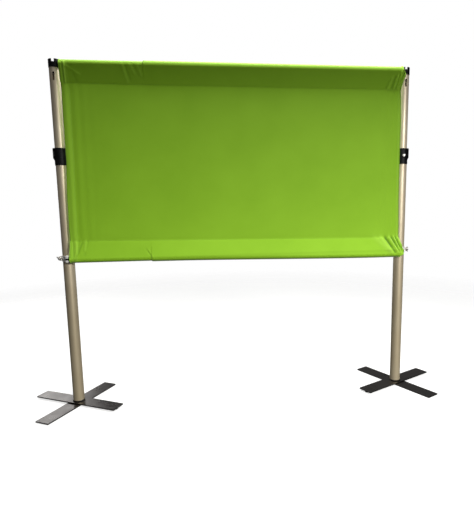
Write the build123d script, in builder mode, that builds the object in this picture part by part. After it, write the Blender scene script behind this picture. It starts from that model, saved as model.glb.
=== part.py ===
"""Collapsible backdrop panel: a fabric sheet on two telescopic crossbars, carried by two
telescopic uprights on folding cross-bar feet.

Millimetres, +Z up, +X to the right as seen from the front, +Y towards the back.
The origin is on the floor, midway between the two uprights.
"""
import os
from math import cos, radians, sin

from build123d import *

os.makedirs("parts", exist_ok=True)

# ---------------------------------------------------------------- driving dimensions
SPAN = 1600.0                 # between the upright axes
SIDES = {"left": -1, "right": 1}
PLAY = 0.05                   # radial clearance of every running fit
FIT = 0.10                    # radial clearance of pieces fixed in each other

# feet: two flat bars crossed at a right angle, the upper one turning on the base bolt
BAR_LENGTH, BAR_WIDTH, BAR_THICK = 460.0, 73.0, 5.0
BAR_CORNER = 4.0
BAR_ANGLE = 27.4              # of the upper bar from the X axis
PAD_HEIGHT, PAD_R, PAD_REACH = 3.0, 10.0, 213.0
WASHER_THICK, WASHER_R = 0.6, 20.0
BOLT_R, BOLT_HEAD_R = 6.0, 11.0

# uprights
LOWER_R, LOWER_WALL = 25.4, 1.4
UPPER_R, UPPER_WALL = 23.8, 1.3
LOWER_TOP, UPPER_TOP, UPPER_BOTTOM = 1172.0, 1538.0, 412.0
SPIGOT_FLANGE, SPIGOT_TOP, SPIGOT_BORE_R, SPIGOT_FLOOR = 5.0, 130.0, 17.0, 15.0
TUBE_SCREW_Z, SCREW_R, SCREW_HEAD_R, SCREW_HEAD = 70.0, 3.0, 6.5, 2.4
SLOT_WIDTH, SLOT_LENGTH, SLOT_DROP = 8.0, 36.0, 20.0
BUSH_LIP, BUSH_DEPTH = 8.0, 30.0

# cap: a crown with four hook notches
CAP_R, CAP_BORE_R, CAP_HEIGHT, CAP_FLOOR, CAP_PLUG = 25.0, 20.0, 34.0, 4.0, 16.0
NOTCH_WIDTH, NOTCH_DEPTH = 12.0, 16.0

# height lock: collar on the lower tube with a cam lever on its outer side
COLLAR_BOTTOM, COLLAR_STEP, COLLAR_TOP = 1122.0, 1154.0, 1197.0
SLEEVE_R, COLLAR_R = 27.6, 28.6
SHROUD_R, SHROUD_SHIFT = 25.6, 8.0     # off-centre round that houses the lever
COLLAR_LIP, SHROUD_THICK = 4.0, 8.0
LEVER_PIN_R, LEVER_PIN_REACH, LEVER_PIN_ANGLE = 1.8, 29.4, 28.0
LEVER_BARREL_R, LEVER_POCKET_R, LEVER_TIP_R = 3.6, 4.3, 2.0
LEVER_TIP_ANGLE, LEVER_TIP_REACH = -43.0, 30.9
SHOE_WIDTH, SHOE_HEIGHT = 4.0, 12.0    # block on the split bush that the cam bears on
COLLAR_SCREW_Z = 1163.0

# crossbars: an inner tube from the left in an outer tube from the right
CROSS_Y = -47.0
TOP_Z, BOTTOM_Z = 1543.0, 704.0
OUTER_R, INNER_R, CROSS_WALL = 19.0, 16.0, 1.5
CROSS_END = 766.5             # both crossbars end this far from the middle
STEP_X = -411.0               # where the outer tube starts
INNER_END_X = -120.0          # where the inner tube ends inside it
PLUG_LENGTH, MOUTH_LENGTH, MOUTH_FLANGE = 40.0, 22.0, 3.0
HOOK_THICK, HOOK_ARM_R, TONGUE_WIDTH = 8.0, 8.0, 8.0
TONGUE_BOTTOM, TONGUE_TOP, LIP_BOTTOM = 1557.8, 1566.0, 1546.0

# lower brackets: a split band with a two-pronged lug, pinned to the bottom crossbar
BAND_R, BAND_THICK, BAND_HEIGHT, BAND_GAP = 25.5, 2.7, 26.0, 6.0
EAR_THICK, EAR_REACH, EAR_HEIGHT = 2.5, 45.0, 20.0
PRONG_WIDTH, PRONG_REACH, PRONG_HEIGHT, PRONG_GAP = 16.0, 56.0, 10.0, 8.0
PRONG_IN = 7.0                # lug centre, inboard of the upright axis
PIN_R, PIN_HEAD_R, PIN_HEAD = 3.0, 5.0, 2.5
CLAMP_X, CLAMP_R = 39.0, 3.0  # clamp bolt, outboard of the upright axis
WING_HUB_R, WING_HUB, WING_R, WING_THICK, WING_LOBE_R = 5.5, 7.0, 12.4, 3.2, 5.0
WING_TURN = {"left": 135.0, "right": 90.0}

# fabric
CLOTH = 0.8
POCKET_R, SEAM_R = 20.4, 1.5
POCKET_HEIGHT = 95.5
FIELD_EDGE, TOP_POCKET_EDGE, BOTTOM_POCKET_EDGE = 772.0, 766.0, 783.0
FIELD_THICK = 1.6

# ---------------------------------------------------------------- worked out from them
HALF = SPAN / 2
LOWER_BAR_Z = PAD_HEIGHT
UPPER_BAR_Z = LOWER_BAR_Z + BAR_THICK + WASHER_THICK + PLAY
TOP_WASHER_Z = UPPER_BAR_Z + BAR_THICK + PLAY
FLANGE_Z = TOP_WASHER_Z + WASHER_THICK
TUBE_Z = FLANGE_Z + SPIGOT_FLANGE
LEVER_BOTTOM = COLLAR_STEP + SHROUD_THICK
LEVER_TOP = COLLAR_TOP - SHROUD_THICK
LEVER_PIN = (
    LEVER_PIN_REACH * cos(radians(LEVER_PIN_ANGLE)),
    LEVER_PIN_REACH * sin(radians(LEVER_PIN_ANGLE)),
)
LEVER_TIP = (
    LEVER_TIP_REACH * cos(radians(LEVER_TIP_ANGLE)),
    LEVER_TIP_REACH * sin(radians(LEVER_TIP_ANGLE)),
)
UP = (Align.CENTER, Align.CENTER, Align.MIN)
SHOE = (Align.MIN, Align.CENTER, Align.MIN)
ALONG_Y = (90, 0, 0)
ALONG_X = (0, 90, 0)


def save(builder, name):
    """Label a finished piece and write it as one STEP file."""
    builder.part.label = name
    export_step(builder.part, f"parts/{name}.step")


def axis_x(side):
    """X of an upright's axis."""
    return SIDES[side] * HALF


def turned(side, height=0.0):
    """Plane across an upright with its X axis outboard: the two sides are half a turn apart."""
    return Plane(origin=(axis_x(side), 0, height), x_dir=(SIDES[side], 0, 0), z_dir=(0, 0, 1))


def ring(outer, inner, bottom, top):
    """Straight tube about the current location."""
    with Locations((0, 0, bottom)):
        Cylinder(outer, top - bottom, align=UP)
        Cylinder(inner, top - bottom, align=UP, mode=Mode.SUBTRACT)


# ---------------------------------------------------------------- feet
def bar_direction(side, upper):
    """Direction of a foot bar, in degrees from +X."""
    angle = SIDES[side] * BAR_ANGLE
    return angle if upper else angle - SIDES[side] * 90


def foot_bar(side, upper):
    """Flat steel bar with the base bolt's hole; the lower one is countersunk from below."""
    height = UPPER_BAR_Z if upper else LOWER_BAR_Z
    angle = radians(bar_direction(side, upper))
    along_bar = Plane(origin=(axis_x(side), 0, height), x_dir=(cos(angle), sin(angle), 0))
    with BuildPart() as bar:
        with BuildSketch(along_bar):
            RectangleRounded(BAR_LENGTH, BAR_WIDTH, BAR_CORNER)
            Circle(BOLT_R + PLAY, mode=Mode.SUBTRACT)
        extrude(amount=BAR_THICK)
        fillet(bar.edges().group_by(Axis.Z)[-1].filter_by(GeomType.LINE), 1.0)
        if not upper:
            with Locations((axis_x(side), 0, height)):
                Cone(BOLT_HEAD_R + PLAY, BOLT_R + PLAY, BAR_THICK, align=UP, mode=Mode.SUBTRACT)
    save(bar, f"{side}_{'upper' if upper else 'lower'}_bar")


def bar_pads(side, upper):
    """Round rubber pads under both ends of a foot bar."""
    angle = radians(bar_direction(side, upper))
    reach = Vector(PAD_REACH * cos(angle), PAD_REACH * sin(angle))
    centre = Vector(axis_x(side), 0)
    with BuildPart() as pads:
        with Locations(centre + reach, centre - reach):
            Cylinder(PAD_R, UPPER_BAR_Z if upper else LOWER_BAR_Z, align=UP)
        chamfer(pads.edges().group_by(Axis.Z)[0], 0.6)
    save(pads, f"{side}_{'upper' if upper else 'lower'}_bar_pads")


def base_bolt(side):
    """Countersunk bolt from below into the spigot; the upper bar turns on its shank."""
    shank_top = TUBE_Z + SPIGOT_FLOOR - 2.0
    socket_r, socket_depth = 4.6, 3.0
    with BuildPart() as bolt:
        with Locations((axis_x(side), 0, LOWER_BAR_Z)):
            Cone(BOLT_HEAD_R, BOLT_R, BAR_THICK, align=UP)
            Cylinder(BOLT_R, shank_top - LOWER_BAR_Z, align=UP)
        with BuildSketch(Plane.XY.offset(LOWER_BAR_Z)):
            with Locations((axis_x(side), 0)):
                RegularPolygon(socket_r, 6)
        extrude(amount=socket_depth, mode=Mode.SUBTRACT)
    save(bolt, f"{side}_base_bolt")


def pivot_washers(side):
    """Thin washers below and above the upper bar."""
    with BuildPart() as washers:
        with Locations((axis_x(side), 0)):
            for bottom in (UPPER_BAR_Z - PLAY - WASHER_THICK, TOP_WASHER_Z):
                ring(WASHER_R, BOLT_R + FIT, bottom, bottom + WASHER_THICK)
    save(washers, f"{side}_pivot_washers")


def spigot(side):
    """Flanged steel socket post that the lower tube stands on."""
    with BuildPart() as post:
        with Locations((axis_x(side), 0, FLANGE_Z)):
            Cylinder(LOWER_R + 1.6, SPIGOT_FLANGE, align=UP)
        chamfer(post.edges().group_by(Axis.Z)[-1], 1.0)
        with Locations((axis_x(side), 0, TUBE_Z)):
            Cylinder(LOWER_R - LOWER_WALL - FIT, SPIGOT_TOP - TUBE_Z, align=UP)
        with Locations((axis_x(side), 0, TUBE_Z + SPIGOT_FLOOR)):
            Cylinder(SPIGOT_BORE_R, SPIGOT_TOP - TUBE_Z, align=UP, mode=Mode.SUBTRACT)
        with Locations((axis_x(side), 0, FLANGE_Z)):
            Cylinder(BOLT_R + FIT, TUBE_Z + SPIGOT_FLOOR - FLANGE_Z, align=UP, mode=Mode.SUBTRACT)
        with Locations((axis_x(side), LOWER_R / 2, TUBE_SCREW_Z)):
            Cylinder(SCREW_R + FIT, LOWER_R, rotation=ALONG_Y, mode=Mode.SUBTRACT)
    save(post, f"{side}_spigot")


# ---------------------------------------------------------------- uprights
def screw(name, side, back, seat_r, tip_r, height):
    """Round-headed screw through an upright, entering from the front or the back."""
    facing = 1 if back else -1
    with BuildPart() as part:
        shank = seat_r - tip_r
        with Locations((axis_x(side), facing * (tip_r + shank / 2), height)):
            Cylinder(SCREW_R, shank, rotation=ALONG_Y)
        with Locations((axis_x(side), facing * (seat_r + SCREW_HEAD / 2), height)):
            Cylinder(SCREW_HEAD_R, SCREW_HEAD, rotation=ALONG_Y)
        fillet(part.edges().filter_by(GeomType.CIRCLE).sort_by(Axis.Y)[-1 if back else 0], 1.6)
    save(part, name)


def collar_screw_is_behind(side):
    """The collars are one moulding, so the left one shows its screw at the back."""
    return side == "left"


def lower_tube(side):
    """Fixed tube of the upright, with its two screw holes."""
    facing = 1 if collar_screw_is_behind(side) else -1
    holes = ((1, TUBE_SCREW_Z), (facing, COLLAR_SCREW_Z))
    with BuildPart() as tube:
        with Locations((axis_x(side), 0)):
            ring(LOWER_R, LOWER_R - LOWER_WALL, TUBE_Z, LOWER_TOP)
        for direction, height in holes:
            with Locations((axis_x(side), direction * LOWER_R, height)):
                Cylinder(SCREW_R + FIT, LOWER_R, rotation=ALONG_Y, mode=Mode.SUBTRACT)
    save(tube, f"{side}_lower_tube")


def upper_tube(side):
    """Sliding tube with four hook slots just below the cap."""
    slot_z = UPPER_TOP - SLOT_DROP - SLOT_LENGTH / 2
    with BuildPart() as tube:
        with Locations((axis_x(side), 0)):
            ring(UPPER_R, UPPER_R - UPPER_WALL, UPPER_BOTTOM, UPPER_TOP)
        for plane in (Plane.XZ, Plane.YZ):
            along = 0 if plane is Plane.YZ else axis_x(side)
            start = axis_x(side) if plane is Plane.YZ else 0
            with BuildSketch(plane.offset(start)):
                with Locations((along, slot_z)):
                    SlotOverall(SLOT_LENGTH, SLOT_WIDTH, rotation=90)
            extrude(amount=UPPER_R + 1, both=True, mode=Mode.SUBTRACT)
    save(tube, f"{side}_upper_tube")


def upper_tube_bush(side):
    """Plastic guide in the foot of the upper tube, running in the lower tube."""
    with BuildPart() as bush:
        with Locations((axis_x(side), 0)):
            ring(LOWER_R - LOWER_WALL - PLAY, SPIGOT_BORE_R, UPPER_BOTTOM - BUSH_LIP, UPPER_BOTTOM)
            ring(UPPER_R - UPPER_WALL - FIT, SPIGOT_BORE_R, UPPER_BOTTOM, UPPER_BOTTOM + BUSH_DEPTH)
    save(bush, f"{side}_upper_tube_bush")


def cap(side):
    """Moulded crown in the top of the upper tube, open upwards, with U-shaped hook notches."""
    notch_round = NOTCH_WIDTH / 2
    notch_z = UPPER_TOP + CAP_HEIGHT - NOTCH_DEPTH + notch_round
    with BuildPart() as crown:
        with Locations((axis_x(side), 0, UPPER_TOP)):
            Cylinder(CAP_R, CAP_HEIGHT, align=UP)
        fillet(crown.edges().filter_by(GeomType.CIRCLE), 1.2)
        with Locations((axis_x(side), 0, UPPER_TOP - CAP_PLUG)):
            Cylinder(UPPER_R - UPPER_WALL - FIT, CAP_PLUG, align=UP)
            Cylinder(SPIGOT_BORE_R + 2.5, CAP_PLUG, align=UP, mode=Mode.SUBTRACT)
        with Locations((axis_x(side), 0, UPPER_TOP + CAP_FLOOR)):
            Cylinder(CAP_BORE_R, CAP_HEIGHT, align=UP, mode=Mode.SUBTRACT)
        for turn in (0, 90):
            with Locations(Location((axis_x(side), 0, notch_z), (0, 0, turn))):
                Box(3 * CAP_R, NOTCH_WIDTH, NOTCH_DEPTH, align=UP, mode=Mode.SUBTRACT)
                Cylinder(notch_round, 3 * CAP_R, rotation=ALONG_X, mode=Mode.SUBTRACT)
    save(crown, f"{side}_cap")


# ---------------------------------------------------------------- height lock
def shroud_outline():
    """Outline of the collar where it houses the lever: two rounds drawn together."""
    Circle(COLLAR_R)
    with Locations((SHROUD_SHIFT, 0)):
        Circle(SHROUD_R)
    make_hull()


def collar_body(side):
    """Black collar: a sleeve on the lower tube, widening outboard to house the lever."""
    taper, taper_height = 7.0, 14.0
    with BuildPart(turned(side)) as collar:
        with Locations((0, 0, COLLAR_BOTTOM)):
            Cylinder(SLEEVE_R, COLLAR_STEP - COLLAR_BOTTOM, align=UP)
        chamfer(collar.edges().group_by(Axis.Z)[0], 1.0)
        with Locations((SHROUD_SHIFT, 0, COLLAR_STEP - taper_height)):
            Cone(SHROUD_R - taper, SHROUD_R, taper_height, align=UP)
        for bottom, top in ((COLLAR_STEP, LEVER_BOTTOM), (LEVER_TOP, COLLAR_TOP)):
            with BuildSketch(turned(side, bottom)):
                shroud_outline()
            extrude(amount=top - bottom)
        fillet(collar.edges().group_by(Axis.Z)[-1], 2.0)
        with Locations((0, 0, LEVER_BOTTOM)):
            Cylinder(COLLAR_R, LEVER_TOP - LEVER_BOTTOM, align=UP)
        with Locations((*LEVER_PIN, LEVER_BOTTOM)):
            Cylinder(LEVER_POCKET_R, LEVER_TOP - LEVER_BOTTOM, align=UP, mode=Mode.SUBTRACT)
        with Locations((*LEVER_PIN, COLLAR_STEP + 1)):
            Cylinder(LEVER_PIN_R + FIT, COLLAR_TOP - COLLAR_STEP, align=UP, mode=Mode.SUBTRACT)
        with Locations(Location((0, 0, LOWER_TOP + 1), (0, 0, LEVER_PIN_ANGLE))):
            Box(LEVER_PIN_REACH, SHOE_WIDTH + 1, SHOE_HEIGHT + 2, align=SHOE, mode=Mode.SUBTRACT)
        for radius, top in (
            (LOWER_R + FIT, LOWER_TOP),
            (UPPER_R + 1.2, COLLAR_TOP - COLLAR_LIP),
            (UPPER_R + 0.4, COLLAR_TOP + 1),
        ):
            with Locations((0, 0, COLLAR_BOTTOM - 1)):
                Cylinder(radius, top - COLLAR_BOTTOM + 1, align=UP, mode=Mode.SUBTRACT)
        with Locations((0, -LOWER_R, COLLAR_SCREW_Z)):
            Cylinder(SCREW_R + FIT, LOWER_R, rotation=ALONG_Y, mode=Mode.SUBTRACT)
        with Locations((0, -COLLAR_R, COLLAR_SCREW_Z)):
            Cylinder(SCREW_HEAD_R + FIT, 1.2, rotation=ALONG_Y, mode=Mode.SUBTRACT)
    save(collar, f"{side}_collar_body")


def collar_bush(side):
    """Split plastic ring that the cam presses onto the upper tube."""
    split = 2.0
    with BuildPart(turned(side)) as bush:
        ring(UPPER_R + 1.1, UPPER_R + PLAY, LOWER_TOP, COLLAR_TOP - COLLAR_LIP)
        with Locations((-UPPER_R, 0, LOWER_TOP)):
            Box(10, split, COLLAR_TOP - LOWER_TOP, align=UP, mode=Mode.SUBTRACT)
        with Locations(Location((0, 0, LOWER_TOP + 2), (0, 0, LEVER_PIN_ANGLE))):
            Box(LEVER_PIN_REACH - LEVER_BARREL_R - FIT, SHOE_WIDTH, SHOE_HEIGHT, align=SHOE)
        with Locations((0, 0, LOWER_TOP)):
            Cylinder(UPPER_R + PLAY, COLLAR_TOP - LOWER_TOP, align=UP, mode=Mode.SUBTRACT)
    save(bush, f"{side}_collar_bush")


def lever_pin(side):
    """Upright pin that the lever turns on."""
    with BuildPart(turned(side)) as pin:
        with Locations((*LEVER_PIN, COLLAR_STEP + 1)):
            Cylinder(LEVER_PIN_R, COLLAR_TOP - COLLAR_STEP - 2, align=UP)
    save(pin, f"{side}_lever_pin")


def lock_lever(side):
    """Cam lever that closes flush round the outside of the collar."""
    gap = 0.4
    with BuildPart() as lever:
        with BuildSketch(turned(side, LEVER_BOTTOM + gap)):
            with Locations((SHROUD_SHIFT, 0)):
                Circle(SHROUD_R)
            Circle(COLLAR_R + gap, mode=Mode.SUBTRACT)
            with Locations(Location((0, 0, 0), (0, 0, LEVER_PIN_ANGLE))):
                Rectangle(120, 60, align=(Align.CENTER, Align.MIN), mode=Mode.SUBTRACT)
            with Locations(Location((0, 0, 0), (0, 0, LEVER_TIP_ANGLE))):
                Rectangle(120, 60, align=(Align.CENTER, Align.MAX), mode=Mode.SUBTRACT)
            with Locations(LEVER_PIN):
                Circle(LEVER_BARREL_R)
            with Locations(LEVER_TIP):
                Circle(LEVER_TIP_R)
            with Locations(LEVER_PIN):
                Circle(LEVER_PIN_R + PLAY, mode=Mode.SUBTRACT)
        extrude(amount=LEVER_TOP - LEVER_BOTTOM - 2 * gap)
    save(lever, f"{side}_lock_lever")


# ---------------------------------------------------------------- crossbars
def span(start, end):
    """Middle and length of a stretch."""
    return (start + end) / 2, abs(end - start)


def rod(radius, start, end, height, mode=Mode.ADD):
    """Round stretch along X on a crossbar's axis."""
    middle, length = span(start, end)
    with Locations((middle, CROSS_Y, height)):
        Cylinder(radius, length, rotation=ALONG_X, mode=mode)


def inner_bar(name, height):
    with BuildPart() as bar:
        rod(INNER_R, -CROSS_END, INNER_END_X, height)
        rod(INNER_R - CROSS_WALL, -CROSS_END, INNER_END_X, height, Mode.SUBTRACT)
    save(bar, name)


def outer_bar(name, height):
    with BuildPart() as bar:
        rod(OUTER_R, STEP_X, CROSS_END, height)
        rod(OUTER_R - CROSS_WALL, STEP_X, CROSS_END, height, Mode.SUBTRACT)
    save(bar, name)


def bar_mouth_bushes():
    """Flanged guides in the open ends of the outer tubes, round the inner tubes."""
    with BuildPart() as bushes:
        for height in (TOP_Z, BOTTOM_Z):
            rod(OUTER_R, STEP_X - MOUTH_FLANGE, STEP_X, height)
            rod(OUTER_R - CROSS_WALL - FIT, STEP_X, STEP_X + MOUTH_LENGTH, height)
            rod(INNER_R + PLAY, STEP_X - MOUTH_FLANGE, STEP_X + MOUTH_LENGTH, height, Mode.SUBTRACT)
    save(bushes, "bar_mouth_bushes")


def bar_end_plugs():
    """Guides in the ends of the inner tubes, running in the outer tubes."""
    lip, depth, bore = 8.0, 20.0, 8.0
    with BuildPart() as plugs:
        for height in (TOP_Z, BOTTOM_Z):
            rod(OUTER_R - CROSS_WALL - PLAY, INNER_END_X, INNER_END_X + lip, height)
            rod(INNER_R - CROSS_WALL - FIT, INNER_END_X - depth, INNER_END_X, height)
            rod(bore, INNER_END_X - depth, INNER_END_X + lip, height, Mode.SUBTRACT)
    save(plugs, "bar_end_plugs")


def bar_radius(side):
    return INNER_R if side == "left" else OUTER_R


def plug(side, height, head):
    """Plug in a crossbar's end with a round head against the end of the tube."""
    out = SIDES[side]
    rod(bar_radius(side) - CROSS_WALL - FIT, out * (CROSS_END - PLUG_LENGTH), out * CROSS_END, height)
    rod(bar_radius(side), out * CROSS_END, out * (CROSS_END + head), height)


def top_hook(side):
    """Moulded hook: a plate from the bar back to the upright, a tongue in the cap's inner
    notch and a lip that drops inside the crown."""
    out = SIDES[side]
    lip_r = CAP_BORE_R - 1.0
    tongue_end = HALF - lip_r + 6.0
    with BuildPart() as hook:
        plug(side, TOP_Z, HOOK_THICK)
        with BuildSketch(Plane.YZ.offset(out * CROSS_END)):
            with Locations((CROSS_Y, TOP_Z)):
                Circle(bar_radius(side))
            with Locations((0, TONGUE_TOP - HOOK_ARM_R)):
                Circle(HOOK_ARM_R)
            make_hull()
        extrude(amount=out * HOOK_THICK)
        middle, length = span(CROSS_END, tongue_end)
        with Locations((out * middle, 0, TONGUE_BOTTOM)):
            Box(length, TONGUE_WIDTH, TONGUE_TOP - TONGUE_BOTTOM, align=UP)
        middle, length = span(tongue_end - 6.0, tongue_end)
        with Locations((out * middle, 0, LIP_BOTTOM)):
            Box(length, TONGUE_WIDTH, TONGUE_TOP - LIP_BOTTOM, align=UP)
    save(hook, f"{side}_top_hook")


def bottom_hook(side):
    """Plug with a flat tongue that sits between the bracket's prongs."""
    out = SIDES[side]
    head, tongue_width, pin_x = 3.0, 14.0, HALF - PRONG_IN
    middle, length = span(CROSS_END, pin_x + 7.0)
    with BuildPart() as hook:
        plug(side, BOTTOM_Z, head)
        with Locations((out * middle, CROSS_Y, BOTTOM_Z)):
            Box(length, tongue_width, PRONG_GAP - 4 * FIT)
        fillet(hook.edges().filter_by(Axis.Z).group_by(Axis.X)[0 if out < 0 else -1], 6.0)
        with Locations((out * pin_x, CROSS_Y, BOTTOM_Z)):
            Cylinder(PIN_R + PLAY, PRONG_GAP, mode=Mode.SUBTRACT)
    save(hook, f"{side}_bottom_hook")


# ---------------------------------------------------------------- lower brackets
def bracket(side):
    """Steel band round the lower tube, split outboard, with ears and a two-pronged lug."""
    out = SIDES[side]
    prong_x = out * (HALF - PRONG_IN)
    prong_shift = (PRONG_GAP + PRONG_HEIGHT) / 2
    prong_length = PRONG_REACH - BAND_R / 2
    with BuildPart() as band:
        with Locations((out * HALF, 0, BOTTOM_Z)):
            Cylinder(BAND_R + BAND_THICK, BAND_HEIGHT)
        with Locations((out * (HALF + EAR_REACH / 2), 0, BOTTOM_Z)):
            Box(EAR_REACH, BAND_GAP + 2 * EAR_THICK, EAR_HEIGHT)
        fillet(band.edges().filter_by(Axis.Y).group_by(Axis.X)[0 if out < 0 else -1], 7.0)
        for shift in (-prong_shift, prong_shift):
            with Locations((prong_x, -PRONG_REACH + prong_length / 2, BOTTOM_Z + shift)):
                Box(PRONG_WIDTH, prong_length, PRONG_HEIGHT)
        fillet(band.edges().filter_by(Axis.Z).group_by(Axis.Y)[0], 5.0)
        with Locations((out * HALF, 0, BOTTOM_Z)):
            Cylinder(BAND_R, 2 * BAND_HEIGHT, mode=Mode.SUBTRACT)
        with Locations((out * (HALF + EAR_REACH / 2), 0, BOTTOM_Z)):
            Box(EAR_REACH + 2, BAND_GAP, 2 * BAND_HEIGHT, mode=Mode.SUBTRACT)
        with Locations((out * (HALF + CLAMP_X), 0, BOTTOM_Z)):
            Cylinder(CLAMP_R + FIT, 2 * BAND_HEIGHT, rotation=ALONG_Y, mode=Mode.SUBTRACT)
        with Locations((prong_x, CROSS_Y, BOTTOM_Z)):
            Cylinder(PIN_R + PLAY, 2 * BAND_HEIGHT, mode=Mode.SUBTRACT)
    save(band, f"{side}_bracket")


def hitch_pin(side):
    """Headed pin down through the prongs and the crossbar's tongue."""
    top = BOTTOM_Z + PRONG_GAP / 2 + PRONG_HEIGHT
    bottom = BOTTOM_Z - PRONG_GAP / 2 - PRONG_HEIGHT - 3.0
    with BuildPart() as pin:
        with Locations((SIDES[side] * (HALF - PRONG_IN), CROSS_Y, bottom)):
            Cylinder(PIN_R, top - bottom, align=UP)
        with Locations((SIDES[side] * (HALF - PRONG_IN), CROSS_Y, top)):
            Cylinder(PIN_HEAD_R, PIN_HEAD, align=UP)
        fillet(pin.edges().group_by(Axis.Z)[-1], 1.2)
        chamfer(pin.edges().group_by(Axis.Z)[0], 0.8)
    save(pin, f"{side}_hitch_pin")


def bracket_bolt(side):
    """Round-headed clamp bolt through the ears, head at the back."""
    ear_back = BAND_GAP / 2 + EAR_THICK
    head, head_r, front = 3.6, 7.0, -21.5
    place = SIDES[side] * (HALF + CLAMP_X)
    middle, length = span(front, ear_back)
    with BuildPart() as bolt:
        with Locations((place, middle, BOTTOM_Z)):
            Cylinder(CLAMP_R, length, rotation=ALONG_Y)
        with Locations((place, ear_back + head / 2, BOTTOM_Z)):
            Cylinder(head_r, head, rotation=ALONG_Y)
        fillet(bolt.edges().filter_by(GeomType.CIRCLE).sort_by(Axis.Y)[-1], 2.6)
        chamfer(bolt.edges().filter_by(GeomType.CIRCLE).sort_by(Axis.Y)[0], 0.6)
    save(bolt, f"{side}_bracket_bolt")


def wing_nut(side):
    """Wing nut on the front of the clamp bolt: a tapered hub and two rounded wings."""
    place = SIDES[side] * (HALF + CLAMP_X)
    seat = -BAND_GAP / 2 - EAR_THICK - PLAY
    wing_y = seat - WING_HUB - 1.5
    turn = WING_TURN[side]
    wing_plane = Plane(
        origin=(place, wing_y, BOTTOM_Z),
        x_dir=(cos(radians(turn)), 0, sin(radians(turn))),
        z_dir=(-sin(radians(turn)), 0, cos(radians(turn))),
    )
    with BuildPart() as nut:
        with Locations(Location((place, seat, BOTTOM_Z), (90, 0, 0))):
            Cone(WING_HUB_R + 1.0, WING_HUB_R, WING_HUB, align=UP)
        with BuildSketch(wing_plane):
            for end in (-1, 1):
                with Locations((end * (WING_R - WING_LOBE_R), 0)):
                    Circle(WING_LOBE_R)
            make_hull()
        extrude(amount=WING_THICK / 2, both=True)
        fillet(nut.edges().filter_by(GeomType.LINE).group_by(Edge.length)[-1], 0.8)
        with Locations((place, seat - 20, BOTTOM_Z)):
            Cylinder(CLAMP_R + PLAY, 60, rotation=ALONG_Y, mode=Mode.SUBTRACT)
    save(nut, f"{side}_wing_nut")


# ---------------------------------------------------------------- fabric
def pocket(name, height, seam_side, start, end):
    """Sleeve of cloth round a crossbar, drawn together into a seam above or below it."""
    seam = height + seam_side * (POCKET_HEIGHT - POCKET_R - SEAM_R)
    middle, length = span(start, end)
    with BuildPart() as sleeve:
        with BuildSketch(Plane.YZ.offset(start)):
            with Locations((CROSS_Y, height)):
                Circle(POCKET_R)
            with Locations((CROSS_Y, seam)):
                Circle(SEAM_R)
            make_hull()
            offset(amount=-CLOTH, mode=Mode.SUBTRACT)
        extrude(amount=length)
    save(sleeve, name)


def field(name, start, end):
    """The flat sheet between the two seams."""
    middle, length = span(start, end)
    bottom = BOTTOM_Z - POCKET_R + POCKET_HEIGHT
    top = TOP_Z + POCKET_R - POCKET_HEIGHT
    with BuildPart() as sheet:
        with Locations((middle, CROSS_Y, bottom)):
            Box(length, FIELD_THICK, top - bottom, align=UP)
    save(sheet, name)


for side in SIDES:
    for upper in (False, True):
        foot_bar(side, upper)
        bar_pads(side, upper)
    base_bolt(side)
    pivot_washers(side)
    spigot(side)
    lower_tube(side)
    screw(f"{side}_tube_screw", side, True, LOWER_R, SPIGOT_BORE_R, TUBE_SCREW_Z)
    collar_body(side)
    collar_bush(side)
    lever_pin(side)
    lock_lever(side)
    behind = collar_screw_is_behind(side)
    screw(f"{side}_collar_screw", side, behind, COLLAR_R - 0.6, LOWER_R - LOWER_WALL, COLLAR_SCREW_Z)
    upper_tube(side)
    upper_tube_bush(side)
    cap(side)
    top_hook(side)
    bottom_hook(side)
    bracket(side)
    hitch_pin(side)
    bracket_bolt(side)
    wing_nut(side)

for level, height in (("top", TOP_Z), ("bottom", BOTTOM_Z)):
    inner_bar(f"{level}_inner_bar", height)
    outer_bar(f"{level}_outer_bar", height)
bar_mouth_bushes()
bar_end_plugs()

# The cloth left of the step in the crossbars gathers as the panel narrows.
pocket("top_pocket_gather", TOP_Z, -1, -TOP_POCKET_EDGE, STEP_X)
pocket("top_pocket", TOP_Z, -1, STEP_X, TOP_POCKET_EDGE)
pocket("bottom_pocket_gather", BOTTOM_Z, 1, -BOTTOM_POCKET_EDGE, STEP_X)
pocket("bottom_pocket", BOTTOM_Z, 1, STEP_X, BOTTOM_POCKET_EDGE)
field("backdrop_field_gather", -FIELD_EDGE, STEP_X)
field("backdrop_field", STEP_X, FIELD_EDGE)
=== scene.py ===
import math
from collections import namedtuple

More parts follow.
